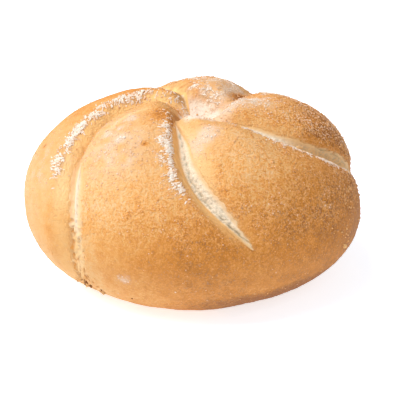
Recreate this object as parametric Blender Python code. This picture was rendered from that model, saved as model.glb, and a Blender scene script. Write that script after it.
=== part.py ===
"""Bread roll: a round white roll of five lobes that swirl out of a pressed hub, baked on a flat sheet.

Metres, +Z up.  The roll stands on its flat base, and the origin is the middle of that base.

A point of the crust is found from two numbers.  Its reach runs down the side of the roll: 0 at the
crown, 1 at the widest line and 2 in the middle of the underside.  Its share runs across one lobe:
0 at the crease where the lobe starts and 1 at the crease where it ends.
"""

import math
from collections import namedtuple

import bmesh
import bpy
from mathutils import Vector

# The plain body, before it is creased: a superellipse turned about the vertical.
BODY_RADIUS = 0.0536
BODY_HEIGHT = 0.0570
WIDEST_HEIGHT = 0.0230
UNDERSIDE_DEPTH = 0.0277
CROWN_FULLNESS = 2.14
UNDERSIDE_FULLNESS = 2.43

# How far the body is out of round, as shares of its radius, with the directions of the swellings.
LEAN_SHARE = -0.018
LEAN_ANGLE = math.radians(234)
OVAL_SHARE = 0.010
OVAL_ANGLE = math.radians(166)

# The hub, where the lobes were pressed together: its middle, how deep it lies and how wide it is.
HUB_X = 0.0025
HUB_Y = 0.0003
HUB_DEPTH = 0.0090
HUB_RADIUS = 0.0090

# Each lobe's crust bulges between its creases, most of all on the upper side.
LOBE_SWELL = 0.0022
LOBE_SWELL_MEAN = 0.6
LOBE_SWELL_LEAN = 1.25
LOBE_EXTRA_SWELLS = (0.0001, 0.0013, 0.0009, 0.0005, 0.0002)

# A crease sets out from the hub at start, hooks round it, swirls outwards and bends as it goes.
# Its wall is the steep side, which the lobe before it turns to the crease, and its slope is the
# gentle side, where the next lobe rises.  It fades out at the reach called end.
Crease = namedtuple("Crease", "start swirl bend hook hook_reach depth wall slope end fade")
CREASES = (
    Crease(start=164, swirl=97, bend=-40, hook=-31, hook_reach=0.40,
           depth=0.0042, wall=0.0070, slope=0.0080, end=1.45, fade=0.65),
    Crease(start=242, swirl=48, bend=5, hook=-48, hook_reach=0.13,
           depth=0.0046, wall=0.0050, slope=0.0090, end=0.98, fade=0.40),
    Crease(start=300, swirl=69, bend=3, hook=-34, hook_reach=0.13,
           depth=0.0032, wall=0.0050, slope=0.0090, end=1.02, fade=0.40),
    Crease(start=394, swirl=53, bend=-44, hook=-41, hook_reach=0.13,
           depth=0.0024, wall=0.0060, slope=0.0100, end=1.00, fade=0.45),
    Crease(start=458, swirl=37, bend=4, hook=22, hook_reach=0.13,
           depth=0.0026, wall=0.0090, slope=0.0100, end=1.00, fade=0.45),
)
SWIRL_STOP = 0.25           # the swirl dies away within this much reach below the widest line
CREASE_RADIUS = 0.022       # inside this radius the creases' walls and slopes grow narrower
CREASE_NARROWEST = 0.25
HUB_CREASE_DEPTH = 0.25     # share of a crease's depth at the hub
CREASE_FULL_REACH = 0.28    # the reach where a crease gets its full depth
WALL_AT_HUB = 0.55          # a wall's width, as a share, at the hub and its growth for each reach
WALL_GROWTH = 0.60
CREASE_SLANT = 0.9          # the distance to a slanting crease, as a share of the distance round
CREASE_OVERLAP = 0.35       # how much two creases that meet deepen each other

# The mesh: columns that run down the roll, the same number on each lobe, and rows round it.
COLUMNS_PER_LOBE = 18
ROWS = 44
COLUMN_CROWDING = 0.13      # draws the columns together at the creases
SLOPE_STEP = 0.001
SMALLEST_RADIUS = 1e-6

CRUST_COLOUR = (0.70, 0.39, 0.15, 1.0)
CRUST_ROUGHNESS = 0.75


def ease(value):
    """Rise smoothly from 0 to 1 as the value does."""
    value = min(max(value, 0.0), 1.0)
    return value * value * (3 - 2 * value)


def crease_azimuth(crease, reach):
    """Return the direction of a crease, seen from above, in radians."""
    if reach > 1:
        reach = 1 + SWIRL_STOP * math.tanh((reach - 1) / SWIRL_STOP)
    hook = crease.hook * math.exp(-(reach / crease.hook_reach) ** 2)
    return math.radians(crease.start + crease.swirl * reach + crease.bend * reach ** 2 + hook)


def body_radius(reach):
    """Return the round body's radius at a reach."""
    fullness = CROWN_FULLNESS if reach < 1 else UNDERSIDE_FULLNESS
    return BODY_RADIUS * abs(math.sin(reach * math.pi / 2)) ** (2 / fullness)


def body_point(reach, azimuth):
    """Return a point of the plain body, out of round and with its crown over the hub."""
    rise = abs(math.cos(reach * math.pi / 2))
    if reach < 1:
        height = WIDEST_HEIGHT + (BODY_HEIGHT - WIDEST_HEIGHT) * rise ** (2 / CROWN_FULLNESS)
        shift = rise ** 2
    else:
        height = WIDEST_HEIGHT - UNDERSIDE_DEPTH * rise ** (2 / UNDERSIDE_FULLNESS)
        shift = 0
    lean = LEAN_SHARE * math.cos(azimuth - LEAN_ANGLE)
    oval = OVAL_SHARE * math.cos(2 * (azimuth - OVAL_ANGLE))
    radius = body_radius(reach) * (1 + lean + oval)
    return Vector((radius * math.cos(azimuth) + HUB_X * shift,
                   radius * math.sin(azimuth) + HUB_Y * shift,
                   height))


def body_normal(reach, azimuth):
    """Return the outward direction of the plain body at a point."""
    point = body_point(reach, azimuth)
    down = body_point(reach + SLOPE_STEP, azimuth) - point
    round_about = body_point(reach, azimuth + SLOPE_STEP) - point
    outward = down.cross(round_about)
    if outward.length < SMALLEST_RADIUS ** 2:
        return Vector((0, 0, 1 if reach < 1 else -1))
    return outward.normalized()


def crease_depth(crease, reach):
    """Return how deep a crease is: shallow at the hub, full down the side, then fading out."""
    deepening = HUB_CREASE_DEPTH + (1 - HUB_CREASE_DEPTH) * ease(reach / CREASE_FULL_REACH)
    fading = 1 - ease((reach - crease.end + crease.fade) / crease.fade)
    return crease.depth * deepening * fading


def relief(reach, share, lobe, before, after, gap):
    """Return how far the crust stands out of the plain body.

    The lobe lies between the crease before it and the crease after it, and gap is the angle
    between the two.
    """
    radius = max(body_radius(reach), SMALLEST_RADIUS)
    width = gap * radius * CREASE_SLANT
    narrowing = CREASE_NARROWEST + (1 - CREASE_NARROWEST) * ease(radius / CREASE_RADIUS)
    slope_width = before.slope * narrowing
    wall_width = after.wall * narrowing * (WALL_AT_HUB + WALL_GROWTH * reach)
    slope = crease_depth(before, reach) * (1 - ease(share * width / slope_width))
    nearness = 1 - min((1 - share) * width / wall_width, 1)
    wall = crease_depth(after, reach) * nearness ** 2
    hollow = max(slope, wall) + CREASE_OVERLAP * min(slope, wall)

    upper_side = ease(reach / 0.3) * (1 - ease((reach - 0.6) / 0.7))
    swell = LOBE_SWELL * upper_side * (math.sin(math.pi * share ** LOBE_SWELL_LEAN) - LOBE_SWELL_MEAN)
    side = ease(reach / 0.4) * (1 - ease((reach - 0.9) / 0.6))
    swell += LOBE_EXTRA_SWELLS[lobe] * side * math.sin(math.pi * share) ** 2

    hub = HUB_DEPTH * math.exp(-(radius / HUB_RADIUS) ** 3) if reach < 1 else 0
    return swell - hollow - hub


def crust_point(reach, turn):
    """Return a point of the creased crust, where turn counts the lobes round the roll."""
    lobe = int(turn) % len(CREASES)
    share = turn - int(turn)
    share -= COLUMN_CROWDING * math.sin(2 * math.pi * share)
    before = CREASES[lobe]
    after = CREASES[(lobe + 1) % len(CREASES)]
    start = crease_azimuth(before, reach)
    gap = (crease_azimuth(after, reach) - start) % (2 * math.pi)
    azimuth = start + share * gap
    height = relief(reach, share, lobe, before, after, gap)
    return body_point(reach, azimuth) + body_normal(reach, azimuth) * height


def cut_flat(mesh):
    """Cut the underside off level with the sheet that the roll was baked on, and close it."""
    everything = mesh.verts[:] + mesh.edges[:] + mesh.faces[:]
    bmesh.ops.bisect_plane(mesh, geom=everything, dist=1e-7, plane_co=(0, 0, 0),
                           plane_no=(0, 0, -1), clear_outer=True)
    rim = [edge for edge in mesh.edges if edge.is_boundary]
    for edge in rim:
        for vertex in edge.verts:
            vertex.co.z = 0
    bmesh.ops.contextual_create(mesh, geom=rim)


def centre_on_origin(mesh):
    """Move the roll sideways until its overall width and depth are centred on the origin."""
    for axis in (0, 1):
        places = [vertex.co[axis] for vertex in mesh.verts]
        middle = (min(places) + max(places)) / 2
        for vertex in mesh.verts:
            vertex.co[axis] -= middle


def roll_mesh():
    """Return the roll's mesh: a sphere whose every point is moved to its place on the crust."""
    mesh = bmesh.new()
    columns = COLUMNS_PER_LOBE * len(CREASES)
    bmesh.ops.create_uvsphere(mesh, u_segments=columns, v_segments=ROWS, radius=1)
    for vertex in mesh.verts:
        polar = math.acos(min(max(vertex.co.z, -1), 1))
        azimuth = math.atan2(vertex.co.y, vertex.co.x) % (2 * math.pi)
        column = round(azimuth / (2 * math.pi) * columns) % columns
        vertex.co = crust_point(2 * polar / math.pi, column / COLUMNS_PER_LOBE)
    cut_flat(mesh)
    centre_on_origin(mesh)
    bmesh.ops.recalc_face_normals(mesh, faces=mesh.faces)
    result = bpy.data.meshes.new("bread_roll")
    mesh.to_mesh(result)
    mesh.free()
    result.shade_smooth()
    result.set_sharp_from_angle(angle=math.radians(60))
    return result


def crust_material():
    """Return the baked crust: matt, golden brown."""
    material = bpy.data.materials.new("baked_crust")
    material.use_nodes = True
    shader = material.node_tree.nodes["Principled BSDF"]
    shader.inputs["Base Color"].default_value = CRUST_COLOUR
    shader.inputs["Roughness"].default_value = CRUST_ROUGHNESS
    shader.inputs["Metallic"].default_value = 0.0
    return material


def main():
    for leftover in list(bpy.data.objects):
        bpy.data.objects.remove(leftover)
    collection = bpy.data.collections.new("bread_roll")
    bpy.context.scene.collection.children.link(collection)
    roll = bpy.data.objects.new("bread_roll", roll_mesh())
    roll.data.materials.append(crust_material())
    collection.objects.link(roll)


main()
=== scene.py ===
import math
from collections import namedtuple

import bpy
import numpy as np
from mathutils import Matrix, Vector, noise


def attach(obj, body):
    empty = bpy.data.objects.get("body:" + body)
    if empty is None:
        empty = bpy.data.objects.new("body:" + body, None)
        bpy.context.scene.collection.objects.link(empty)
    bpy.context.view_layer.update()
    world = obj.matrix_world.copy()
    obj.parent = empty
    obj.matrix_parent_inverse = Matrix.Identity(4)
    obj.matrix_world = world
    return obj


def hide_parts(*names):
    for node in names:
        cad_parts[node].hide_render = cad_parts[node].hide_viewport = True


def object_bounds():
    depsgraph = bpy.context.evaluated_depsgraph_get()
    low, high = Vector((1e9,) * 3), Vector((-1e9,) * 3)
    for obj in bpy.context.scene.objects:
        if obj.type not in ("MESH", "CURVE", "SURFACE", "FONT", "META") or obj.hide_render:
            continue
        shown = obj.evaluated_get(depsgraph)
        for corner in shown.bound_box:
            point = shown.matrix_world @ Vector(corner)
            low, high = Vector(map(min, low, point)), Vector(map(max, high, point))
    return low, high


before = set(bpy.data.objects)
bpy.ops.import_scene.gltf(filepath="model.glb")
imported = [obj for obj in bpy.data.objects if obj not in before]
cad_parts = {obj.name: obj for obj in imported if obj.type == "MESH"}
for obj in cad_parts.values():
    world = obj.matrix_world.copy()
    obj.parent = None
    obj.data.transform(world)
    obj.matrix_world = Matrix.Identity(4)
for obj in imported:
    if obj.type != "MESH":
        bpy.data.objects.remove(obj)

cad_low, cad_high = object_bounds()


# ---------------------------------------------------------------------------------------------
# The crust.  The roll is one lump of white wheat dough, folded into five lobes round a hub that
# a thumb pressed in, proved in coarse flour and baked on a flat sheet.  In the oven the lobes
# swell, and the creases between them tear open.
MM = 0.001
BODY_RADIUS = 53.6
BODY_HEIGHT = 57.0
WIDEST_HEIGHT = 23.0
UNDERSIDE_DEPTH = 27.7
CROWN_FULLNESS = 2.14
UNDERSIDE_FULLNESS = 2.43
LEAN_SHARE, LEAN_ANGLE = -0.018, math.radians(234)
OVAL_SHARE, OVAL_ANGLE = 0.010, math.radians(166)
HUB_MIDDLE = (2.5, 0.3)
HUB_DEPTH, HUB_RADIUS = 9.0, 9.0
LOBE_SWELL = 2.2
LOBE_EXTRA_SWELLS = (0.1, 1.3, 0.9, 0.5, 0.2)
PATH = 75                   # millimetres of crust from the hub to the widest line

# A place on the crust has a reach, which is 0 at the hub, 1 at the widest line and 2 in the middle
# of the base, and a share, which runs from 0 to 1 across its lobe.  A crease starts at the hub,
# hooks round it, swirls outwards and bends on the way.  Its wall is the steep flank of the lobe
# before it, and its slope the rise of the lobe after it.
Crease = namedtuple("Crease", "start swirl bend hook hook_reach depth wall slope end fade")
CREASES = (
    Crease(164, 97, -40, -31, 0.40, 4.2, 7.0, 8.0, 1.45, 0.65),
    Crease(242, 48, 5, -48, 0.13, 4.6, 5.0, 9.0, 0.98, 0.40),
    Crease(300, 69, 3, -34, 0.13, 3.2, 5.0, 9.0, 1.02, 0.40),
    Crease(394, 53, -44, -41, 0.13, 2.4, 6.0, 10.0, 1.00, 0.45),
    Crease(458, 37, 4, 22, 0.13, 2.6, 9.0, 10.0, 1.00, 0.45),
)
# Each crease tears open between two reaches.  The tear's width on the wall's side stays the same,
# and on the slope's side it grows from narrow to wide.  A fissure runs along it, some millimetres
# up the slope.  Beyond the tear the crust is young and pale for some millimetres.
Tear = namedtuple("Tear", "begin finish wall_side narrow wide fissure young paleness")
TEARS = (
    Tear(0.50, 1.33, 0.7, 10.2, 7.6, 7.0, 2.5, 0.6),
    Tear(0.14, 0.94, 1.8, 3.1, 4.8, 1.2, 6.0, 0.8),
    Tear(0.12, 1.02, 0.5, 3.4, 6.0, 5.4, 4.0, 0.20),
    Tear(0.45, 0.85, 0.5, 0.6, 2.2, 0.4, 5.0, 0.3),
    Tear(0.06, 0.80, 0.7, 0.9, 2.6, 0.4, 5.0, 0.5),
)
# Two lobes sank a little near their tips.
Sunken = namedtuple("Sunken", "azimuth radius size depth")
SUNKEN = (Sunken(286, 16.0, 7.0, 1.7), Sunken(20, 17.5, 5.5, 1.3))
# The steep flank above each crease is more or less browned.  Flour clings to the ridge above it,
# between two reaches, some share of the flank's width away from the crease.
Flank = namedtuple("Flank", "browned flour begin end place")
FLANKS = (
    Flank(0.00, 1.0, 0.02, 0.76, 0.62),
    Flank(0.14, 1.0, 0.08, 0.66, 0.80),
    Flank(0.60, 0.6, 0.20, 0.84, 0.30),
    Flank(0.60, 0.6, 0.20, 0.70, 0.78),
    Flank(0.25, 0.3, 0.06, 0.72, 0.78),
)
# A patch lies somewhere down the roll and round it, so wide, and is so strong.  Dry flour lies in
# faint patches, it caked on a ridge beside the hub, and the oven browned some patches more; some of
# the brown patches are painted shade, in creases and pockets beside the hub and on shaded flanks.
Patch = namedtuple("Patch", "reach azimuth size amount")
DUST_PATCHES = (
    Patch(0.38, 237, 3.5, 0.25), Patch(0.50, 238, 3.0, 0.6), Patch(0.45, 225, 13.0, 0.4),
    Patch(0.35, 205, 9.0, 0.35), Patch(0.30, 274, 5.5, 0.8), Patch(0.26, 62, 9.0, 0.65),
    Patch(0.17, 5, 6.5, 0.9), Patch(0.34, 30, 5.0, 0.5), Patch(1.11, 247, 2.5, 0.5),
    Patch(0.75, 190, 16.0, 0.28), Patch(0.60, 120, 10.0, 0.3), Patch(0.80, 60, 9.0, 0.3),
    Patch(0.90, 150, 10.0, 0.3), Patch(0.65, 215, 7.0, 0.3),
    Patch(0.28, 209, 2.4, 1.0), Patch(0.34, 213, 1.6, 1.0), Patch(0.40, 211, 2.4, 0.9),
    Patch(0.40, 223, 2.2, 0.9),
    Patch(0.10, 340, 4.5, 0.8), Patch(0.15, 52, 4.5, 0.6),
)
CAKED_PATCHES = (
    Patch(0.16, 96, 1.6, 0.8), Patch(0.12, 78, 1.8, 1.0), Patch(0.10, 60, 1.8, 1.0),
    Patch(0.08, 45, 1.5, 0.8),
)
BROWN_AND_SHADE_PATCHES = (
    Patch(0.93, 268, 16.0, 0.33), Patch(0.88, 312, 13.0, 0.16), Patch(0.62, 145, 15.0, 0.55),
    Patch(0.17, 225, 5.0, 0.85), Patch(0.17, 112, 3.5, 0.35), Patch(0.12, 122, 2.2, 0.8),
    Patch(0.62, 5, 13.0, 0.36), Patch(0.45, 300, 11.0, -0.26), Patch(0.32, 345, 8.0, -0.20),
    Patch(0.60, 236, 13.0, -0.20), Patch(0.20, 100, 9.0, 0.25), Patch(0.42, 165, 13.0, 0.20),
    Patch(0.27, 147, 7.0, 0.45), Patch(0.50, 350, 5.0, 0.35), Patch(0.33, 60, 7.0, -0.25),
    Patch(0.70, 262, 6.0, -0.16), Patch(0.92, 284, 6.0, 0.15), Patch(1.12, 243, 9.0, 0.12),
    Patch(0.79, 272, 4.0, -0.12), Patch(0.84, 300, 5.0, 0.12),
    Patch(0.38, 239, 0.9, 1.2), Patch(0.67, 181, 0.9, 1.0), Patch(0.98, 212, 2.0, 0.25),
)
COLUMNS_PER_LOBE = 100
ROWS_TO_RIM = 180
ROWS_OF_BASE = 9
RIM_REACH = 1.62
COLUMN_CROWDING = 0.07
FILLET = 0.8
LIP = 0.9                   # how far the crust dives under the torn dough at its edge


def ease(value):
    value = np.clip(value, 0.0, 1.0)
    return value * value * (3 - 2 * value)


def crease_azimuth(crease, reach):
    turned = np.where(reach > 1, 1 + 0.25 * np.tanh((reach - 1) / 0.25), reach)
    hook = crease.hook * np.exp(-(reach / crease.hook_reach) ** 2)
    return np.radians(crease.start + crease.swirl * turned + crease.bend * turned ** 2 + hook)


def body_radius(reach):
    fullness = np.where(reach < 1, CROWN_FULLNESS, UNDERSIDE_FULLNESS)
    return BODY_RADIUS * np.abs(np.sin(reach * math.pi / 2)) ** (2 / fullness)


def body_points(reach, azimuth):
    rise = np.abs(np.cos(reach * math.pi / 2))
    crown = WIDEST_HEIGHT + (BODY_HEIGHT - WIDEST_HEIGHT) * rise ** (2 / CROWN_FULLNESS)
    under = WIDEST_HEIGHT - UNDERSIDE_DEPTH * rise ** (2 / UNDERSIDE_FULLNESS)
    shift = np.where(reach < 1, rise ** 2, 0)
    lean = LEAN_SHARE * np.cos(azimuth - LEAN_ANGLE)
    oval = OVAL_SHARE * np.cos(2 * (azimuth - OVAL_ANGLE))
    radius = body_radius(reach) * (1 + lean + oval)
    return np.stack([radius * np.cos(azimuth) + HUB_MIDDLE[0] * shift,
                     radius * np.sin(azimuth) + HUB_MIDDLE[1] * shift,
                     np.where(reach < 1, crown, under)], -1)


def crease_depth(crease, reach):
    deepening = 0.25 + 0.75 * ease(reach / 0.28)
    fading = 1 - ease((reach - crease.end + crease.fade) / crease.fade)
    return crease.depth * deepening * fading


def lobe_width(lobe, reach):
    """Return how many millimetres a lobe measures from crease to crease."""
    start = crease_azimuth(CREASES[lobe], reach)
    gap = (crease_azimuth(CREASES[(lobe + 1) % len(CREASES)], reach) - start) % (2 * math.pi)
    return gap * np.maximum(body_radius(reach), 1e-6) * 0.9


def lobe_surface(lobe, reach, share):
    """Return places on one lobe: their points, outward directions and distances to the creases."""
    before, after = CREASES[lobe], CREASES[(lobe + 1) % len(CREASES)]
    start = crease_azimuth(before, reach)
    gap = (crease_azimuth(after, reach) - start) % (2 * math.pi)
    azimuth = start + share * gap
    radius = np.maximum(body_radius(reach), 1e-6)
    narrowing = 0.25 + 0.75 * ease(radius / 22)
    width = lobe_width(lobe, reach)
    past = share * width
    ahead = (1 - share) * width
    slope_width = before.slope * narrowing
    wall_width = after.wall * narrowing * (0.55 + 0.60 * reach)
    slope = crease_depth(before, reach) * (1 - ease(past / slope_width))
    wall = crease_depth(after, reach) * (1 - np.clip(ahead / wall_width, 0, 1)) ** 2
    hollow = np.maximum(slope, wall) + 0.35 * np.minimum(slope, wall)
    upper_side = ease(reach / 0.3) * (1 - ease((reach - 0.6) / 0.7))
    swell = LOBE_SWELL * upper_side * (np.sin(math.pi * share ** 1.25) - 0.6)
    side = ease(reach / 0.4) * (1 - ease((reach - 0.9) / 0.6))
    swell = swell + LOBE_EXTRA_SWELLS[lobe] * side * np.sin(math.pi * share) ** 2
    hub = np.where(reach < 1, HUB_DEPTH * np.exp(-(radius / HUB_RADIUS) ** 3), 0)
    for one in SUNKEN:
        turned = azimuth - math.radians(one.azimuth)
        off_middle = np.hypot(radius * np.cos(turned) - one.radius, radius * np.sin(turned))
        hub = hub + np.where(reach < 1, one.depth * np.exp(-(off_middle / one.size) ** 2), 0)
    point = body_points(reach, azimuth)
    down = body_points(reach + 1e-3, azimuth) - point
    about = body_points(reach, azimuth + 1e-3) - point
    normal = np.cross(down, about)
    normal /= np.linalg.norm(normal, axis=-1, keepdims=True)
    swirl = crease_azimuth(before, reach + 1e-3) - start
    along = down + about * (swirl / 1e-3)[..., None]
    along /= np.linalg.norm(along, axis=-1, keepdims=True)
    return dict(point=point + normal * (swell - hollow - hub)[..., None], normal=normal,
                along=along, reach=reach, past=past, ahead=ahead, wall_width=wall_width,
                lobe=np.full(reach.shape, lobe), azimuth=azimuth, radius=radius)


def noise_at(places, size, detail=3, seed=0.0):
    """Smooth noise from -1 to 1 whose lumps are about size apart, with finer detail on top."""
    offset = Vector((seed, 1.7 * seed, -0.6 * seed))
    values = [noise.fractal(Vector(place) / size + offset, 1.0, 2.0, detail) for place in places]
    return np.array(values)


def tear_widths(lobe, reach):
    """Return how wide the tear before a lobe is, on the wall's side and on the slope's."""
    tear = TEARS[lobe]
    length = tear.finish - tear.begin
    opening = np.sqrt(ease((reach - tear.begin) / (0.2 * length)))
    closing = np.clip((tear.finish - reach) / (0.35 * length), 0, 1) ** 0.75
    growing = ease((reach - tear.begin) / (0.75 * length))
    slope_side = tear.narrow + (tear.wide - tear.narrow) * growing
    wall_side = tear.wall_side * (1 - 0.5 * growing)
    return wall_side * opening * closing, slope_side * opening * closing


# Rows lie closer together on the visible crust than on the base.
upper_rows = RIM_REACH * (np.arange(ROWS_TO_RIM) + 1) / ROWS_TO_RIM
base_rows = RIM_REACH + (2 - RIM_REACH) * (np.arange(ROWS_OF_BASE - 1) + 1) / ROWS_OF_BASE
row_reach = np.concatenate([upper_rows, base_rows])
share_line = np.arange(COLUMNS_PER_LOBE) / COLUMNS_PER_LOBE
share_line = share_line - COLUMN_CROWDING * np.sin(2 * math.pi * share_line)

lobes = [lobe_surface(lobe, *np.meshgrid(row_reach, share_line, indexing="ij"))
         for lobe in range(len(CREASES))]
field = {name: np.concatenate([lobe[name] for lobe in lobes], axis=1) for name in lobes[0]}
rows, columns = field["reach"].shape
flat = {name: values.reshape((-1,) + values.shape[2:]) for name, values in field.items()}
points, normals = flat["point"], flat["normal"]
reach, past, ahead, lobe_of = flat["reach"], flat["past"], flat["ahead"], flat["lobe"]
after_of = (lobe_of + 1) % len(CREASES)
wall_width = flat["wall_width"]


def by_lobe(tuples, name, lobe):
    return np.array([getattr(one, name) for one in tuples])[lobe]


# The torn strip lies on both sides of a crease, with a ragged edge.
ragged = noise_at(points, 2.0, 3, 3.0)
widths = [tear_widths(lobe, reach) for lobe in range(len(CREASES))]
ragged = ragged * (0.15 + 0.75 * ease((reach - 0.45) / 0.25))
slope_side = np.choose(lobe_of, [width[1] for width in widths])
slope_side = slope_side + ragged * ease(slope_side)
wall_side = np.choose(after_of, [width[0] for width in widths])
wall_side = wall_side + ragged * ease(wall_side)
torn = np.maximum(ease((slope_side - past) / 1.3 + 0.5) * (slope_side > 0.05),
                  ease((wall_side - ahead) / 1.0 + 0.5) * (wall_side > 0.05))

# Next to the tear the crust is young: the dough under it came out last and browned least.  The
# same pale mask also carries a painted highlight and some painted light.
young_reach = ease((reach - by_lobe(TEARS, "begin", lobe_of) + 0.12) / 0.12)
young_reach = young_reach * (1 - ease((reach - by_lobe(TEARS, "finish", lobe_of) + 0.25) / 0.30))
lower_half = ease((reach - 0.42) / 0.25)
young_width = by_lobe(TEARS, "young", lobe_of) * (1 - 0.72 * lower_half)
young = 1 - ease((past - slope_side) / young_width)
young = young * by_lobe(TEARS, "paleness", lobe_of) * young_reach * (1 - 0.5 * lower_half)
# A pale line along the edge of the lobe beside the first crease: a painted highlight where its rim catches the
# light, partly pale dust.
edge_dust_and_highlight = np.exp(-((past - 12.2) / 0.9) ** 2) * (lobe_of == 0)
edge_dust_and_highlight = edge_dust_and_highlight * ease((reach - 0.16) / 0.05) * (1 - ease((reach - 0.34) / 0.06))
young = np.maximum(young * (1 - ease((reach - 0.34) / 0.14) * (lobe_of == 2)), 0.7 * edge_dust_and_highlight)
# Painted light: beside the lowest tear the flank turned away from the light is painted paler.
painted_light_beside_tear = (1 - ease((ahead - 2.5) / 4.0)) * (lobe_of == 4) * ease((reach - 0.50) / 0.1)
young = np.maximum(young, 0.65 * painted_light_beside_tear * (1 - ease((reach - 0.78) / 0.12)))

# Round the hub the skin is stretched thin and stays pale, out to the rim where the roll turns over.
hub_ragged = noise_at(points, 3.0, 3, 4.0)
near_side = np.clip(np.cos(flat["azimuth"] - math.radians(285)), 0, 1)
hub_edge = 9.5 + 7.0 * near_side + 1.6 * hub_ragged
hub_pale = ease((hub_edge - flat["radius"]) / 3.5) * (reach < 1)
hub_pale = hub_pale * np.array([0.05, 1.0, 0.45, 0.35, 0.25])[lobe_of]
hub_pale = hub_pale * np.where(lobe_of == 1, ease((past - 2.0) / 2.5), 1)
at_hub_wall = ease((3.2 - ahead) / 2.2) * (lobe_of == 3) * ease((0.14 - reach) / 0.05)
hub_pale = np.maximum(hub_pale, 0.5 * at_hub_wall)
hub_rim = 8.0 + 2.2 * (lobe_of == 3) + hub_ragged
hub_pale = np.maximum(hub_pale, ease((hub_rim - flat["radius"]) / 3.0) * (reach < 1))

# The steep flank, which the flour never reached.
flank = ease(1.2 - 1.1 * ahead / np.maximum(wall_width, 1e-3))
flank = flank * (1 - ease((reach - by_lobe(CREASES, "end", after_of) + 0.35) / 0.35))
flank = flank * ease(reach / 0.15) * (1 - 0.75 * ease((reach - 0.48) / 0.2) * (lobe_of == 4))


def patchy(patches):
    """Return the strength of some patches at every point of the crust, one by one."""
    strengths = []
    for patch in patches:
        bearing = (np.degrees(flat["azimuth"]) - patch.azimuth + 180) % 360 - 180
        off_round = np.radians(bearing) * flat["radius"]
        off_down = (reach - patch.reach) * PATH
        off_middle = np.hypot(off_round, off_down) / patch.size
        strengths.append(patch.amount * np.exp(-off_middle ** 2))
    return np.array(strengths)


# Flour clings to the ridge at the top of each flank.
cloud = noise_at(points, 5.0, 3, 7.0)
clumps = noise_at(points, 2.2, 2, 9.0)
ridge = by_lobe(FLANKS, "place", after_of) * wall_width + 1.1 + 0.7 * cloud
ridge = ridge - 1.2 * ease((0.30 - reach) / 0.08) * (lobe_of == 4)
ridge = ridge - 1.3 * ease((0.48 - reach) / 0.15) * (lobe_of == 0)
wider = np.where(lobe_of == 4, 1.25, 1)
band = np.exp(-((ahead - ridge) / np.where(ahead > ridge, 2.6, 1.2) / wider) ** 2)
band = band * ease((reach - by_lobe(FLANKS, "begin", after_of)) / 0.10)
band = band * (1 - ease((reach - by_lobe(FLANKS, "end", after_of) + 0.12) / 0.16))
flour = by_lobe(FLANKS, "flour", after_of) * band
flour = flour * (1 - 0.8 * np.exp(-((reach - 0.18) / 0.035) ** 2) * (lobe_of == 4))
flour = flour * (1 - 0.75 * (1 - ease((reach - 0.20) / 0.07)) * (lobe_of == 0))
flour = flour * (1 - 0.6 * (1 - ease((reach - 0.12) / 0.06)) * (lobe_of == 4))
flour = np.maximum(flour, patchy(CAKED_PATCHES).max(0) * np.isin(lobe_of, (2, 3)))
flour = np.clip(flour * (1.0 + 0.5 * cloud + 1.0 * clumps), 0, 1)
hub_pale = np.maximum(hub_pale, 0.8 * patchy(CAKED_PATCHES).max(0) * (lobe_of == 3))

# Elsewhere it lies as faint patches, where the roll touched the floured cloth.
dust = np.clip(patchy(DUST_PATCHES).max(0) * (1.0 + 0.8 * cloud + 0.6 * clumps), 0, 1)

# The side that stood towards the oven's heat is browner.  Round the waist and below it the crust is
# darker: partly browner crust, partly painted shade against the glow of the sheet.
across_roll, depth_roll, height_roll = (points / BODY_RADIUS - (0, 0, WIDEST_HEIGHT / BODY_RADIUS)).T
bake_and_shade = 0.52 + 0.35 * across_roll - 0.03 * depth_roll - 0.67 * np.maximum(height_roll, -0.15)
bake_and_shade = bake_and_shade + 0.12 * ease((across_roll - 0.65) / 0.3) + patchy(BROWN_AND_SHADE_PATCHES).sum(0)
# Just below the widest line the crust is a little paler, and on the right the bottom rim, where the roll meets
# the sheet, is darkened with a painted shadow.
bake_and_shade = bake_and_shade - 0.08 * ease((reach - 0.98) / 0.2) + 0.6 * ease((reach - 1.2) / 0.12) * ease(0.3 + 2 * across_roll)
bake_and_shade = bake_and_shade + np.array([0.0, 0.0, 0.14, 0.0, 0.10])[lobe_of] * (1 - 1.8 * ease((reach - 0.75) / 0.2))
# Painted shade: beside the hub, where a lobe bends over the slope of the next, the slope in its crook is
# darkened, and no dust is painted there.
painted_crook_shade = (lobe_of == 3) * (1 - ease((past - 1.4) / 2.6)) * ease((reach - 0.12) / 0.10)
painted_crook_shade = painted_crook_shade * (1 - ease((reach - 0.36) / 0.1))
dust = dust * (1 - painted_crook_shade)
beside_crack = np.exp(-((past - 9.0) / 5.0) ** 2) * (lobe_of == 0) * ease((reach - 0.85) / 0.15)
above_tear = np.exp(-((past - slope_side - 0.5) / 2.6) ** 2) * (lobe_of == 2) * ease((reach - 0.34) / 0.1)
bake_and_shade = bake_and_shade + 1.0 * painted_crook_shade - 0.3 * beside_crack - 0.36 * above_tear
flank_brown_and_shade = by_lobe(FLANKS, "browned", after_of) + 0.5 * ease((ahead - 0.45 * wall_width) / 2.0)
sandy = np.array([0.78, 0.80, 1.65, 0.80, 0.36])[lobe_of] * (1 - 0.55 * ease((reach - 0.75) / 0.25))
sandy = sandy * (1 + 0.35 * cloud) * (1 - 0.6 * young)
sandy = np.where(lobe_of == 2, sandy * (0.45 + 0.55 * ease((past - slope_side - 1.5) / 5.0)), sandy)
flank_brown_and_shade = flank_brown_and_shade + 0.15 * ease((reach - 0.80) / 0.2) + 0.5 * clumps * ease((0.6 - reach) / 0.1)
# Near the hub the walls of the narrow creases are darker: partly browner crust, partly painted shade deep in
# the creases.
flank_brown_and_shade = flank_brown_and_shade + 0.6 * ease((0.34 - reach) / 0.12) * np.isin(lobe_of, (0, 2))
flank_brown_and_shade = flank_brown_and_shade + 0.3 * ease((0.30 - reach) / 0.10) * (lobe_of == 3)

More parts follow.
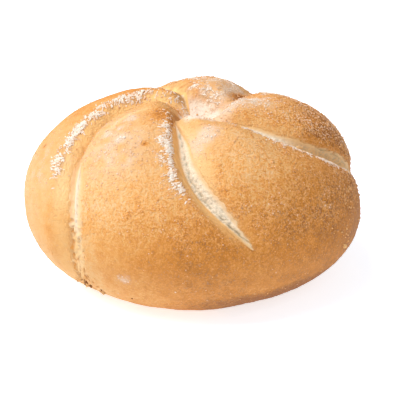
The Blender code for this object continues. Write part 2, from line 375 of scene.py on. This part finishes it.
# Near the sheet the crust turns greyer: painted shade against the glow of the sheet, partly a dusting of flour.
painted_shade = 0.10 * ease((reach - 0.95) / 0.15)

lumps = noise_at(points, 22.0, 2, 11.0)
wrinkles = noise_at(points, 4.0, 3, 13.0)
blisters = noise_at(points, 1.3, 2, 17.0)
relief = 0.45 * lumps + 0.12 * wrinkles + 0.05 * blisters * (0.5 + bake_and_shade)
relief = relief + flour * (0.18 + 0.12 * blisters)
relief = relief - LIP * torn
points = points + normals * relief[:, None]


def rest_on_sheet(points):
    """Flatten what would reach below the sheet, with a small fillet where the side meets it."""
    height = points[:, 2]
    points[:, 2] = np.where(height < -FILLET, 0,
                            np.where(height < FILLET, (height + FILLET) ** 2 / (4 * FILLET), height))
    return points


# The crust fills the frame's box exactly.
points = rest_on_sheet(points)
cad_size = np.array(cad_high) - np.array(cad_low)
low, high = points.min(0), points.max(0)


def set_in_frame(points):
    """Turn millimetres of the roll into the frame's metres."""
    return (points - low) / (high - low) * cad_size + np.array(cad_low)


points = set_in_frame(points)

crown = points[:columns].mean(0)
foot = points[-columns:].mean(0)
vertices = np.concatenate([[crown], points, [foot]])
index = 1 + np.arange(rows * columns).reshape(rows, columns)
right = np.roll(index, -1, axis=1)
quads = np.stack([index[:-1], index[1:], right[1:], right[:-1]], -1).reshape(-1, 4)
caps = [(0, int(a), int(b)) for a, b in zip(index[0], right[0])]
caps += [(int(a), len(vertices) - 1, int(b)) for a, b in zip(index[-1], right[-1])]
mesh = bpy.data.meshes.new("roll_crust")
mesh.from_pydata(vertices.tolist(), [], quads.tolist() + caps)
mesh.shade_smooth()


def store(mesh, name, values):
    """Keep a number at every point of a mesh, for its material to read."""
    layer = mesh.attributes.new(name, "FLOAT", "POINT")
    layer.data.foreach_set("value", np.asarray(values, dtype=np.float32))


for name, values in (("young", young), ("hub", hub_pale), ("flank", flank), ("flour", flour),
                     ("flank_brown_and_shade", flank_brown_and_shade), ("sandy", sandy), ("dust", dust), ("bake_and_shade", bake_and_shade), ("painted_shade", painted_shade), ("torn", torn)):
    store(mesh, name, np.concatenate([[values[:columns].mean()], values, [values[-columns:].mean()]]))

roll = bpy.data.objects.new("roll_crust", mesh)
bpy.context.collection.objects.link(roll)


def linear(hex_colour):
    """Turn an sRGB hex colour into the linear colour that a shader takes."""
    channels = [int(hex_colour[i:i + 2], 16) / 255 for i in (1, 3, 5)]
    return [c / 12.92 if c <= 0.04045 else ((c + 0.055) / 1.055) ** 2.4 for c in channels] + [1.0]


def add(tree, kind, settings=None, links=None):
    """Add a node, set its properties and sockets, and link its inputs."""
    node = tree.nodes.new(kind)
    for name, value in (settings or {}).items():
        if isinstance(name, str) and name in node.bl_rna.properties:
            setattr(node, name, value)
        else:
            node.inputs[name].default_value = value
    for name, source in (links or {}).items():
        tree.links.new(source, node.inputs[name])
    return node


def blend(tree, factor, first, second):
    """Go from a colour to another as the factor goes from 0 to 1; a colour is a socket or a hex."""
    settings, links = {"data_type": "RGBA"}, {0: factor}
    for socket, colour in ((6, first), (7, second)):
        if isinstance(colour, str):
            settings[socket] = linear(colour)
        else:
            links[socket] = colour
    return add(tree, "ShaderNodeMix", settings, links).outputs[2]


def formula(tree, operation, *values):
    """Work out one step of arithmetic on sockets and numbers."""
    settings = {"operation": operation}
    settings.update({i: value for i, value in enumerate(values) if isinstance(value, (int, float))})
    links = {i: value for i, value in enumerate(values) if not isinstance(value, (int, float))}
    return add(tree, "ShaderNodeMath", settings, links).outputs[0]


def rise(tree, value, low, high):
    """Rise smoothly from 0 to 1 as a value goes from low to high."""
    settings = {"interpolation_type": "SMOOTHSTEP", "From Min": low, "From Max": high}
    return add(tree, "ShaderNodeMapRange", settings, {"Value": value}).outputs["Result"]


def grain(tree, size, detail=2.0, roughness=0.5, offset=0.0):
    """Make noise about 0.5 whose grains are about size millimetres wide."""
    place = add(tree, "ShaderNodeTexCoord").outputs["Object"]
    moved = add(tree, "ShaderNodeMapping", {"Location": (offset, offset, offset)}, {"Vector": place})
    settings = {"Detail": detail, "Roughness": roughness, "Scale": 1 / (size * MM)}
    return add(tree, "ShaderNodeTexNoise", settings, {"Vector": moved.outputs[0]}).outputs["Fac"]


def of_mesh(tree, name):
    return add(tree, "ShaderNodeAttribute", {"attribute_name": name}).outputs["Fac"]


# Baked wheat crust: matt, golden to hazel brown, mottled, and sandy where it is brownest.
crust = bpy.data.materials.new("baked_wheat_crust")
crust.use_nodes = True
tree = crust.node_tree
shader = tree.nodes["Principled BSDF"]
clouds = grain(tree, 14, 3.0)
mottle = grain(tree, 3.2, 3.0, 0.6)
sand = grain(tree, 0.9, 2.0, 0.6)
fine_sand = grain(tree, 0.45, 1.0, 0.5, 0.3)
specks = grain(tree, 0.55, 0.0, 0.5, 0.6)
browning = formula(tree, "MULTIPLY_ADD", clouds, 0.60, of_mesh(tree, "bake_and_shade"))
mottling = formula(tree, "MULTIPLY_ADD", of_mesh(tree, "sandy"), 0.40, 0.55)
mottled = formula(tree, "MULTIPLY_ADD", formula(tree, "SUBTRACT", mottle, 0.5), mottling, 0.45)
browning = formula(tree, "ADD", mottled, browning)
grainy = formula(tree, "MULTIPLY_ADD", sand, 2.3, formula(tree, "MULTIPLY", fine_sand, 1.7))
grainy = formula(tree, "MULTIPLY", formula(tree, "SUBTRACT", grainy, 2.0), formula(tree, "MINIMUM", of_mesh(tree, "sandy"), 0.9))
browning = formula(tree, "ADD", browning, grainy)
ramp = add(tree, "ShaderNodeValToRGB", links={"Fac": formula(tree, "MULTIPLY_ADD", browning, 0.625, -0.219)})
stops = ((0.0, "#DEB688"), (0.25, "#DAA96F"), (0.41, "#D89C58"), (0.56, "#D18C43"),
         (0.72, "#C27A30"), (0.87, "#AC6C2B"), (1.0, "#945724"))
for position, colour in stops[1:-1]:
    ramp.color_ramp.elements.new(position)
for element, (position, colour) in zip(ramp.color_ramp.elements, stops):
    element.position = position
    element.color = linear(colour)
tone = ramp.outputs["Color"]
speckled = formula(tree, "MULTIPLY", rise(tree, specks, 0.60, 0.70), of_mesh(tree, "sandy"))
tone = blend(tree, formula(tree, "MULTIPLY", speckled, 0.50), tone, "#EAB07A")
place = add(tree, "ShaderNodeTexCoord").outputs["Object"]
dots = add(tree, "ShaderNodeTexVoronoi", {"Scale": 1 / (0.95 * MM)}, {"Vector": place})
dotted = formula(tree, "SUBTRACT", 1.0, rise(tree, dots.outputs["Distance"], 0.20, 0.36))
odd = add(tree, "ShaderNodeSeparateColor", links={"Color": dots.outputs["Color"]}).outputs["Red"]
dotted = formula(tree, "MULTIPLY", dotted, rise(tree, odd, 0.35, 0.75))
dotted = formula(tree, "MULTIPLY", dotted, formula(tree, "SUBTRACT", of_mesh(tree, "sandy"), 0.45))
tone = blend(tree, dotted, tone, "#ECAE76")
warp = add(tree, "ShaderNodeTexNoise", {"Scale": 1 / (3 * MM)}, {"Vector": place}).outputs["Color"]
warp = add(tree, "ShaderNodeVectorMath", {"operation": "SCALE", "Scale": 3 * MM}, {0: warp})
warped = add(tree, "ShaderNodeVectorMath", {"operation": "ADD"}, {0: place, 1: warp.outputs[0]})
cells = add(tree, "ShaderNodeTexVoronoi", {"feature": "DISTANCE_TO_EDGE", "Scale": 1 / (2.8 * MM)},
            {"Vector": warped.outputs[0]}).outputs["Distance"]
network = formula(tree, "SUBTRACT", 1.0, rise(tree, cells, 0.0, 0.10))
network = formula(tree, "MULTIPLY", network, rise(tree, clouds, 0.42, 0.62))
network = formula(tree, "MULTIPLY", network, of_mesh(tree, "sandy"))
tone = blend(tree, formula(tree, "MULTIPLY", network, 0.35), tone, "#E8B478")
# Greyer near the sheet: painted shade, partly flour dust.
tone = blend(tree, of_mesh(tree, "painted_shade"), tone, "#BC9474")
flank_tone = blend(tree, of_mesh(tree, "flank_brown_and_shade"), "#F2C888", "#B4702E")
tone = blend(tree, of_mesh(tree, "flank"), tone, flank_tone)
pale = blend(tree, mottle, "#E2B474", "#F6D8A6")
tone = blend(tree, of_mesh(tree, "young"), tone, pale)
tone = blend(tree, of_mesh(tree, "hub"), tone, blend(tree, mottle, "#DEC4A6", "#EEDFD4"))
tone = blend(tree, of_mesh(tree, "torn"), tone, "#D9B888")
dusted = formula(tree, "MULTIPLY_ADD", sand, 0.9, of_mesh(tree, "dust"))
dusted = formula(tree, "MULTIPLY_ADD", fine_sand, 0.6, dusted)
tone = blend(tree, formula(tree, "MULTIPLY", rise(tree, dusted, 0.8, 1.5), 0.8), tone, "#DCC0A6")
# Painted shade: under and between the flour flakes the crust is darkened.
painted_shade_under_flakes = formula(tree, "MULTIPLY_ADD", sand, 0.6, of_mesh(tree, "flour"))
tone = blend(tree, formula(tree, "MULTIPLY", rise(tree, painted_shade_under_flakes, 0.5, 1.0), 0.7), tone, "#C09264")
tree.links.new(tone, shader.inputs["Base Color"])
height = formula(tree, "MULTIPLY_ADD", mottle, 0.5, sand)
height = formula(tree, "MULTIPLY_ADD", network, 0.25, height)
height = formula(tree, "MULTIPLY_ADD", fine_sand, 0.5, height)
bump = add(tree, "ShaderNodeBump", {"Strength": 1.0, "Distance": 0.45 * MM}, {"Height": height})
tree.links.new(bump.outputs["Normal"], shader.inputs["Normal"])
shader.inputs["Roughness"].default_value = 0.70
shader.inputs["Specular IOR Level"].default_value = 0.15
roll.data.materials.append(crust)
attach(roll, "root")
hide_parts("bread_roll")


# ---------------------------------------------------------------------------------------------
# The torn dough.  Where a crease opened, moist white dough shows between the crust's edges: a
# soft strip, stretched into strands and full of small pores, with a fissure along its bottom.
STRIP_SINK = 0.20           # how far the dough lies below the crust's edges
TUCK = 1.6                  # how far it runs on beneath them
STRIP_STEP = 0.30
STRIP_COLUMNS = 30

strip_points, strip_faces = [], []
strip_values = {"pore_shade": [], "fissure": [], "tan": [], "golden": [], "crusty": [], "spongy": [],
                "crack": [], "painted_shade": []}
for lobe, tear in enumerate(TEARS):
    steps = int((tear.finish - tear.begin) * PATH / STRIP_STEP)
    line = np.linspace(tear.begin, tear.finish, steps)
    wall_edge, slope_edge = tear_widths(lobe, line)
    across = np.linspace(0, 1, STRIP_COLUMNS)
    strip_reach = np.repeat(line[:, None], STRIP_COLUMNS, 1)
    off = (-(wall_edge + TUCK)[:, None] + across[None, :] * (wall_edge + slope_edge + 2 * TUCK)[:, None])
    share_after = np.clip(off, 0, None) / lobe_width(lobe, strip_reach)
    share_before = 1 - np.clip(-off, 0, None) / lobe_width((lobe - 1) % len(CREASES), strip_reach)
    behind = lobe_surface((lobe - 1) % len(CREASES), strip_reach, share_before)
    beyond = lobe_surface(lobe, strip_reach, share_after)
    on_slope = (off >= 0)[..., None]
    place = np.where(on_slope, beyond["point"], behind["point"]).reshape(-1, 3)
    outward = np.where(on_slope, beyond["normal"], behind["normal"]).reshape(-1, 3)
    off, strip_reach = off.reshape(-1), strip_reach.reshape(-1)
    strands = np.stack([strip_reach * PATH / 5.0, off / 0.8, np.full(len(off), lobe * 7.0)], -1)
    fibre = noise_at(strands, 1.0, 3, 31.0)
    pore = noise_at(place, 0.7, 2, 33.0)
    course = np.stack([strip_reach * PATH, 0 * off, 0 * off + lobe * 9.0], -1)
    wander = noise_at(course, 3.0, 4, 37.0)
    to_crease = ease((strip_reach - 0.84) / 0.12) * (lobe == 0)
    fissure = np.exp(-((off - tear.fissure * (1 - to_crease) - 0.6 * wander) / (0.30 + 0.15 * fibre)) ** 2)
    fissure = fissure * ease(0.6 + 1.2 * noise_at(place, 1.6, 3, 39.0))
    porous = ease((pore - 0.15 + 0.2 * ease((strip_reach - 0.7) / 0.2)) / 0.22)
    inside = np.minimum(off + np.repeat(wall_edge, STRIP_COLUMNS),
                        np.repeat(slope_edge, STRIP_COLUMNS) - off)
    porous = porous * ease((inside - 0.5) / 0.8)
    lumpy = noise_at(place, 1.6, 2, 41.0)
    shaggy = ease((strip_reach - tear.begin) / (0.6 * (tear.finish - tear.begin)))
    height = (0.45 * noise_at(place, 22.0, 2, 11.0) + 0.12 * noise_at(place, 4.0, 3, 13.0)
              - STRIP_SINK + 0.12 * fibre + (0.05 + 0.25 * shaggy) * lumpy
              - (0.10 + 0.18 * shaggy) * porous - 0.6 * fissure - 0.6 * ease(-inside / TUCK)
              + to_crease * 0.6 * lumpy)
    first = sum(len(block) for block in strip_points)
    strip_points.append(place + outward * height[:, None])
    index = first + np.arange(len(place)).reshape(steps, STRIP_COLUMNS)
    quads = np.stack([index[:-1, :-1], index[1:, :-1], index[1:, 1:], index[:-1, 1:]], -1)
    strip_faces.append(quads.reshape(-1, 4))
    # Painted shade inside the pores; the spongy part's holes and the fissure get painted shade too.
    strip_values["pore_shade"].append(np.clip(porous * (0.35 + 0.9 * shaggy), 0, 1) * (0.1 if lobe == 0 else 1))
    strip_values["spongy"].append(shaggy * ease((inside - 0.3) / 0.8) * (lobe != 0))
    strip_values["fissure"].append(fissure * (1 - to_crease))
    golden_edge = (4.0, 0.8, -9.0, 1.0, 1.0)[lobe]
    golden = ease((golden_edge - off) / 1.2) * (1 - to_crease) * (0.6 if lobe == 0 else 1)
    strip_values["golden"].append(np.maximum(golden, 0.10 * (lobe == 0)))
    broken = ease(0.7 + 1.4 * noise_at(place, 2.0, 2, 43.0))
    strip_values["crack"].append(to_crease * broken * np.exp(-((off - 0.2 - 0.5 * wander) / 0.8) ** 2))
    # Painted shade: the strip of the lowest tear, where the light falls brightest, is darker and greyer.
    strip_values["painted_shade"].append(0 * off + 0.4 * (lobe == 0))
    to_crust = 1 - ease((1 - off / np.maximum(np.repeat(slope_edge, STRIP_COLUMNS), 0.1)) / 0.35)
    to_crust = to_crust * (1 - 0.3 * shaggy)
    if lobe == 1:
        to_crust = np.maximum(to_crust, 0.65 * ease((strip_reach - 0.68) / 0.2) * (0.9 + 0.3 * lumpy))
    if lobe == 0:
        to_crust = np.maximum(to_crust, ease((strip_reach - 0.84) / 0.16) * (0.85 + 0.25 * lumpy))
    strip_values["crusty"].append(to_crust)
    strip_values["tan"].append(0.85 * (lobe == 2) * ease((strip_reach - 0.34) / 0.14) * (1 - 0.6 * to_crust))

strip_mesh = bpy.data.meshes.new("torn_dough")
strip_mesh.from_pydata(set_in_frame(np.concatenate(strip_points)).tolist(), [],
                       np.concatenate(strip_faces).tolist())
strip_mesh.shade_smooth()
for name, values in strip_values.items():
    store(strip_mesh, name, np.concatenate(values))
strip = bpy.data.objects.new("torn_dough", strip_mesh)
bpy.context.collection.objects.link(strip)

# Set wheat dough: creamy white and matt, with painted shade inside its pores, holes and fissure
# and on the strip of the lowest tear.
dough = bpy.data.materials.new("set_wheat_dough")
dough.use_nodes = True
tree = dough.node_tree
shader = tree.nodes["Principled BSDF"]
soft = grain(tree, 2.5, 3.0, 0.6)
crumbly = grain(tree, 0.7, 2.0, 0.6)
tone = blend(tree, crumbly, "#DCCBAC", "#F2E8D8")
# Painted shade on the strip of the lowest tear.
tone = blend(tree, of_mesh(tree, "painted_shade"), tone, "#CCAE90")
tone = blend(tree, of_mesh(tree, "golden"), tone, blend(tree, soft, "#DA9E56", "#EEC488"))
tone = blend(tree, of_mesh(tree, "crusty"), tone, blend(tree, soft, "#CE9A58", "#EAC28A"))
tone = blend(tree, of_mesh(tree, "tan"), tone, blend(tree, soft, "#D0924A", "#EAB870"))
# Painted shade inside the pores and holes and along the bottom of the fissure.
tone = blend(tree, formula(tree, "MULTIPLY", of_mesh(tree, "pore_shade"), 0.45), tone, "#ACA08A")
hole_shade = rise(tree, grain(tree, 0.40, 1.0, 0.5, 0.9), 0.52, 0.62)
hole_shade = formula(tree, "MULTIPLY", hole_shade, of_mesh(tree, "spongy"))
tone = blend(tree, formula(tree, "MULTIPLY", hole_shade, 0.35), tone, "#ACA084")
tone = blend(tree, formula(tree, "MULTIPLY", of_mesh(tree, "fissure"), 0.6), tone, "#8E8468")
tone = blend(tree, of_mesh(tree, "crack"), tone, "#C0803A")
tree.links.new(tone, shader.inputs["Base Color"])
bump = add(tree, "ShaderNodeBump", {"Strength": 1.0, "Distance": 0.2 * MM}, {"Height": crumbly})
tree.links.new(bump.outputs["Normal"], shader.inputs["Normal"])
shader.inputs["Roughness"].default_value = 0.8
shader.inputs["Specular IOR Level"].default_value = 0.25
strip.data.materials.append(dough)
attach(strip, "root")


# ---------------------------------------------------------------------------------------------
# The flour.  Coarse rye flour stuck to the ridges while they were moist, dried there into small
# flakes that lie across the ridge with cracks between them, and was scattered thinly elsewhere.
FLAKES = 1300
FLAKE_SIDES = 7
GRAINS = 9800
rng = np.random.default_rng(7)
crust_points = np.array([vertex.co for vertex in mesh.vertices])[1:-1]
crust_normals = np.array([vertex.vector for vertex in mesh.vertex_normals])[1:-1]
patch_area = (flat["radius"] / 50) * np.where(reach < RIM_REACH, 1, 4) * (crust_points[:, 2] > 0.003)
across_step = np.abs(np.gradient(share_line))
patch_area = patch_area * np.tile(across_step, rows * len(CREASES))


def pick(weights, count, rng):
    """Choose places on the crust, as often as their weights say, each moved a little aside."""
    chosen = rng.choice(len(weights), count, p=weights / weights.sum())
    outward = crust_normals[chosen]
    beside = np.cross(outward, flat["along"][chosen])
    beside /= np.linalg.norm(beside, axis=1, keepdims=True)
    onward = np.cross(beside, outward)
    places = crust_points[chosen]
    places = places + beside * rng.uniform(-0.3, 0.3, (count, 1)) * MM
    places = places + onward * rng.uniform(-0.3, 0.3, (count, 1)) * MM
    return chosen, places, outward, beside, onward


def joined(name, points, faces):
    """Make one mesh object of many small pieces: points by piece, and one piece's faces."""
    pieces, corners = points.shape[:2]
    mesh = bpy.data.meshes.new(name)
    shift = (np.arange(pieces) * corners)[:, None, None]
    mesh.from_pydata(points.reshape(-1, 3).tolist(), [],
                     (np.array(faces)[None] + shift).reshape(-1, len(faces[0])).tolist())
    piece = bpy.data.objects.new(name, mesh)
    bpy.context.collection.objects.link(piece)
    return piece


chosen, places, outward, beside, onward = pick(patch_area * flour ** 1.5, FLAKES, rng)
turn = rng.normal(0, 0.25, (FLAKES, 1)) * np.where(reach[chosen] < 0.16, 3.0, 1.0)[:, None]
long_way = beside * np.cos(turn) + onward * np.sin(turn)
short_way = onward * np.cos(turn) - beside * np.sin(turn)
length = rng.uniform(0.35, 0.85, (FLAKES, 1)) * MM
breadth = rng.uniform(0.16, 0.28, (FLAKES, 1)) * MM
thickness = rng.uniform(0.06, 0.16, (FLAKES, 1)) * MM
corners = []
for level, spread in ((-0.15, 1.0), (None, 0.80)):
    for side in range(FLAKE_SIDES):
        angle = 2 * math.pi * side / FLAKE_SIDES
        reach_out = rng.uniform(0.75, 1.15, (FLAKES, 1)) * spread
        corner = (places + long_way * length * math.cos(angle) * reach_out
                  + short_way * breadth * math.sin(angle) * reach_out)
        corners.append(corner + outward * (thickness if level is None else level * MM))
corners.append(places + outward * thickness * 1.25)
faces = []
for side in range(FLAKE_SIDES):
    following = (side + 1) % FLAKE_SIDES
    faces.append((side, following, FLAKE_SIDES + following))
    faces.append((side, FLAKE_SIDES + following, FLAKE_SIDES + side))
    faces.append((FLAKE_SIDES + side, FLAKE_SIDES + following, 2 * FLAKE_SIDES))
flakes = joined("flour_flakes", np.stack(corners, 1), faces)
store(flakes.data, "toasted", np.repeat(rng.uniform(0, 0.8, FLAKES) ** 2, len(corners)))

# Dry flour: bright, chalky and quite matt.
chalky = bpy.data.materials.new("dry_flour")
chalky.use_nodes = True
tree = chalky.node_tree
shader = tree.nodes["Principled BSDF"]
tone = blend(tree, grain(tree, 1.2, 2.0), "#DCCBB8", "#F8F1E8")
tone = blend(tree, of_mesh(tree, "toasted"), tone, "#DCA468")
tree.links.new(tone, shader.inputs["Base Color"])
bump = add(tree, "ShaderNodeBump", {"Strength": 0.6, "Distance": 0.1 * MM}, {"Height": grain(tree, 0.3)})
tree.links.new(bump.outputs["Normal"], shader.inputs["Normal"])
shader.inputs["Roughness"].default_value = 0.95
shader.inputs["Specular IOR Level"].default_value = 0.1
flakes.data.materials.append(chalky)
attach(flakes, "root")

# Loose grains: squat, angular, with twelve corners, 0.2 to 0.5 millimetres across.
golden = (1 + math.sqrt(5)) / 2
corner_ways = np.array([(0, a, b * golden) for a in (-1, 1) for b in (-1, 1)]
                       + [(a, b * golden, 0) for a in (-1, 1) for b in (-1, 1)]
                       + [(b * golden, 0, a) for a in (-1, 1) for b in (-1, 1)])
corner_ways /= np.linalg.norm(corner_ways[0])
closest = np.linalg.norm(corner_ways[:, None] - corner_ways[None], axis=-1)
edge = np.min(closest[closest > 0.01]) * 1.01
grain_faces = []
for a in range(12):
    for b in range(a + 1, 12):
        for c in range(b + 1, 12):
            if max(closest[a, b], closest[b, c], closest[a, c]) < edge:
                facing = np.cross(corner_ways[b] - corner_ways[a], corner_ways[c] - corner_ways[a])
                grain_faces.append((a, b, c) if facing @ corner_ways[a] > 0 else (a, c, b))
strewn = 0.02 + 0.9 * dust + 3.0 * flour ** 1.5 + 0.8 * np.clip(sandy - 0.50, 0, 1)
strewn = strewn * (1 - torn) * ease((cloud + 0.9) / 1.2) * (reach < 1.35)
chosen, places, outward, beside, onward = pick(patch_area * strewn, GRAINS, rng)
size = rng.lognormal(math.log(0.16), 0.30, (GRAINS, 1, 1))
size = size * (1 + 0.45 * flour[chosen][:, None, None]) * MM
ways = corner_ways[None] * rng.uniform(0.75, 1.2, (GRAINS, 12, 1)) * size
grain_points = (places[:, None] + ways[..., 0:1] * beside[:, None] * rng.uniform(0.8, 1.5, (GRAINS, 1, 1))
                + ways[..., 1:2] * onward[:, None] + ways[..., 2:3] * 0.7 * outward[:, None]
                + outward[:, None] * size * 0.35)
grains = joined("flour_grains", grain_points, grain_faces)
toasted = 0.9 - 0.9 * dust[chosen] - flour[chosen] - 0.30 * np.clip(sandy[chosen] - 0.9, 0, 1)
toasted = np.clip(toasted + rng.normal(0, 0.15, GRAINS), 0, 1)
store(grains.data, "toasted", np.repeat(toasted, 12))
grains.data.materials.append(chalky)
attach(grains, "root")


# ---------------------------------------------------------------------------------------------
# The crumbs.  Where the lowest tear ran down to the sheet it burst raggedly: toasted crumbs and
# shreds of crust hang along it, the lowest ones scorched, and a few more stuck to the browned side.
CRUMBS = 900
crumb_rng = np.random.default_rng(11)
weights = patch_area * (lobe_of == 0) * ease((reach - 0.88) / 0.10) * (reach < 1.36)
along_crack = np.exp(-((past - 1.8) / 1.2) ** 2) + 0.10 * np.exp(-((past - 6.5) / 2.5) ** 2)
weights = weights * along_crack * ease(0.6 + 1.5 * clumps)
weights = weights + 0.020 * patch_area * ease((across_roll - 0.75) / 0.2) * (height_roll > -0.1)
weights = weights + 0.12 * patch_area * patchy((Patch(1.33, 222, 1.6, 1.0), Patch(1.25, 231, 0.8, 0.8), Patch(1.31, 248, 0.5, 2.0))).sum(0)
chosen, places, outward, beside, onward = pick(weights, CRUMBS, crumb_rng)
size = crumb_rng.lognormal(math.log(0.30), 0.40, (CRUMBS, 1, 1))
size = np.where((across_roll[chosen] > 0.3)[:, None, None], 0.75 * size, size) * MM
ways = corner_ways[None] * crumb_rng.uniform(0.6, 1.3, (CRUMBS, 12, 1)) * size
stretch = crumb_rng.uniform(0.8, 1.4, (CRUMBS, 1, 1))
crumb_points = (places[:, None] + ways[..., 0:1] * beside[:, None] + ways[..., 1:2] * stretch * onward[:, None]
                + ways[..., 2:3] * outward[:, None] + outward[:, None] * size * 0.2)
crumbs = joined("toasted_crumbs", crumb_points, grain_faces)
scorch = np.clip(crumb_rng.uniform(0, 0.40, CRUMBS) + 0.9 * ease((reach[chosen] - 1.20) / 0.10)
                 * (crumb_rng.uniform(0, 1, CRUMBS) > 0.70), 0, 1)
store(crumbs.data, "scorch", np.repeat(scorch, 12))

# Toasted crumb: rough and dry, straw-coloured to dark brown.
toasted_crumb = bpy.data.materials.new("toasted_crumb")
toasted_crumb.use_nodes = True
tree = toasted_crumb.node_tree
shader = tree.nodes["Principled BSDF"]
tone = blend(tree, grain(tree, 0.8, 2.0), "#DA9E58", "#F2C48A")
tone = blend(tree, of_mesh(tree, "scorch"), tone, "#84501E")
tree.links.new(tone, shader.inputs["Base Color"])
shader.inputs["Roughness"].default_value = 0.8
shader.inputs["Specular IOR Level"].default_value = 0.25
crumbs.data.materials.append(toasted_crumb)
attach(crumbs, "root")


# ---------------------------------------------------------------------------------------------
# The table and the studio: a glowing white sheet, one large soft box high on the left and a
# little behind, a weak one in front on the right, and pale walls that send their light back.
table_mesh = bpy.data.meshes.new("table")
table_mesh.from_pydata([(-3, -3, 0), (3, -3, 0), (3, 3, 0), (-3, 3, 0)], [], [(0, 1, 2, 3)])
table = bpy.data.objects.new("table", table_mesh)
bpy.context.collection.objects.link(table)
paper = bpy.data.materials.new("white_paper")
paper.use_nodes = True
shader = paper.node_tree.nodes["Principled BSDF"]
shader.inputs["Base Color"].default_value = linear("#DCEBFF")
shader.inputs["Roughness"].default_value = 0.9
shader.inputs["Emission Color"].default_value = (1, 1, 1, 1)
shader.inputs["Emission Strength"].default_value = 0.66
table.data.materials.append(paper)

world = bpy.data.worlds.new("pale_walls")
world.use_nodes = True
world.node_tree.nodes["Background"].inputs["Color"].default_value = (1, 1, 1, 1)
world.node_tree.nodes["Background"].inputs["Strength"].default_value = 0.3
bpy.context.scene.world = world

for name, place, size, power in (("key_box", (-0.60, 0.03, 0.95), 1.0, 18),
                                 ("fill_box", (0.50, -0.80, 0.70), 0.8, 3.2)):
    light = bpy.data.lights.new(name, "AREA")
    light.shape = "SQUARE"
    light.size = size
    light.energy = power
    box = bpy.data.objects.new(name, light)
    box.location = place
    box.rotation_euler = (Vector((0, 0, 0.03)) - Vector(place)).to_track_quat("-Z", "Y").to_euler()
    bpy.context.collection.objects.link(box)

CAMERA_ELEVATION = math.radians(24)
CAMERA_DISTANCE = 0.60
CAMERA_LENS = 165.4
camera_data = bpy.data.cameras.new("camera")
camera_data.sensor_width = 36
camera_data.lens = CAMERA_LENS
camera = bpy.data.objects.new("camera", camera_data)
aim = Vector((0.0027, 0, 0.0215))
back = Vector((0, -math.cos(CAMERA_ELEVATION), math.sin(CAMERA_ELEVATION)))
camera.location = aim + back * CAMERA_DISTANCE
camera.rotation_euler = (math.radians(90) - CAMERA_ELEVATION, 0, 0)
bpy.context.collection.objects.link(camera)
bpy.context.scene.camera = camera
bpy.context.scene.view_settings.view_transform = "Standard"
